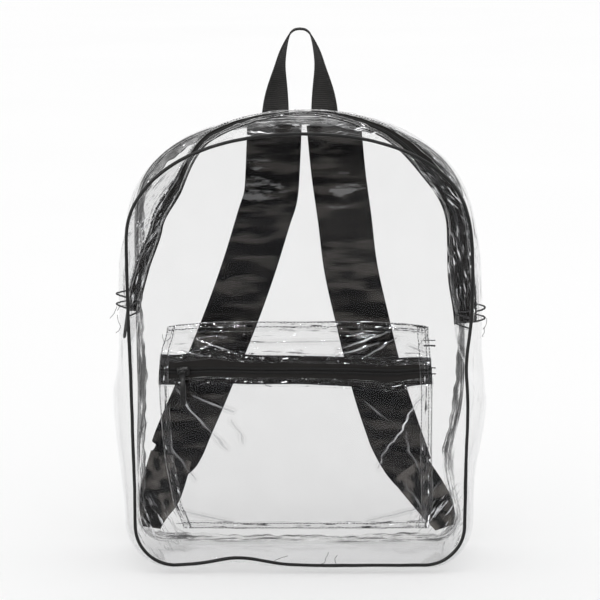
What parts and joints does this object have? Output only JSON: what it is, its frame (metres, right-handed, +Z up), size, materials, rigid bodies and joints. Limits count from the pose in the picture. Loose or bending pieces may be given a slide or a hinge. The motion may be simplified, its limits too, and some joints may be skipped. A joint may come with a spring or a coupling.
{
  "type": "clear backpack",
  "caption": "Clear sheet backpack with black piping, a zip over its arched top, a zipped front pocket, flat shoulder straps and a webbing carry loop.",
  "frame": {"origin": "on the floor under the middle of the base, midway between the front seam and the back seam", "axes": "+Z up, the front with its pocket faces -Y, +X is to the right of someone looking at the front"},
  "size_m": [0.3565, 0.192, 0.5067],
  "materials": {
    "clear_sheet": "clear soft vinyl sheet, glossy",
    "piping": "black vinyl piping, satin gloss",
    "zip_tape": "black woven tape",
    "zip_teeth": "black moulded coil",
    "zip_metal": "black enamel",
    "strap_cloth": "black woven polyester with a slight sheen",
    "webbing": "black ribbed webbing"
  },
  "bodies": {
    "root": {"front_panel": "clear_sheet", "back_panel": "clear_sheet", "lower_gusset": "clear_sheet", "zip_gusset_front": "clear_sheet", "zip_gusset_rear": "clear_sheet", "pocket_panel": "clear_sheet", "pocket_top_strip": "clear_sheet", "front_piping": "piping", "back_piping": "piping", "main_zip_tape_front": "zip_tape", "main_zip_tape_rear": "zip_tape", "pocket_zip_tape_lower": "zip_tape", "pocket_zip_tape_upper": "zip_tape", "main_zip_coil": "zip_teeth", "pocket_zip_coil": "zip_teeth", "main_zip_slider": "zip_metal", "pocket_zip_slider": "zip_metal", "shoulder_strap_left": "strap_cloth", "shoulder_strap_right": "strap_cloth", "lower_webbing_left": "webbing", "lower_webbing_right": "webbing", "carry_handle": "webbing"},
    "main_pull": {"main_zip_pull": "zip_metal"},
    "pocket_pull": {"pocket_zip_pull": "zip_metal"}
  },
  "joints": [
    {"name": "main_pull_swing", "type": "hinge", "parent": "root", "child": "main_pull", "pos_m": [-0.163, -0.00914, 0.24791], "axis": [-0.4629, 0.8864, -0.0066], "range_deg": [0, 140]},
    {"name": "pocket_pull_swing", "type": "hinge", "parent": "root", "child": "pocket_pull", "pos_m": [-0.10905, -0.08201, 0.19568], "axis": [-0.9689, 0.2433, -0.0451], "range_deg": [0, 140]}
  ]
}
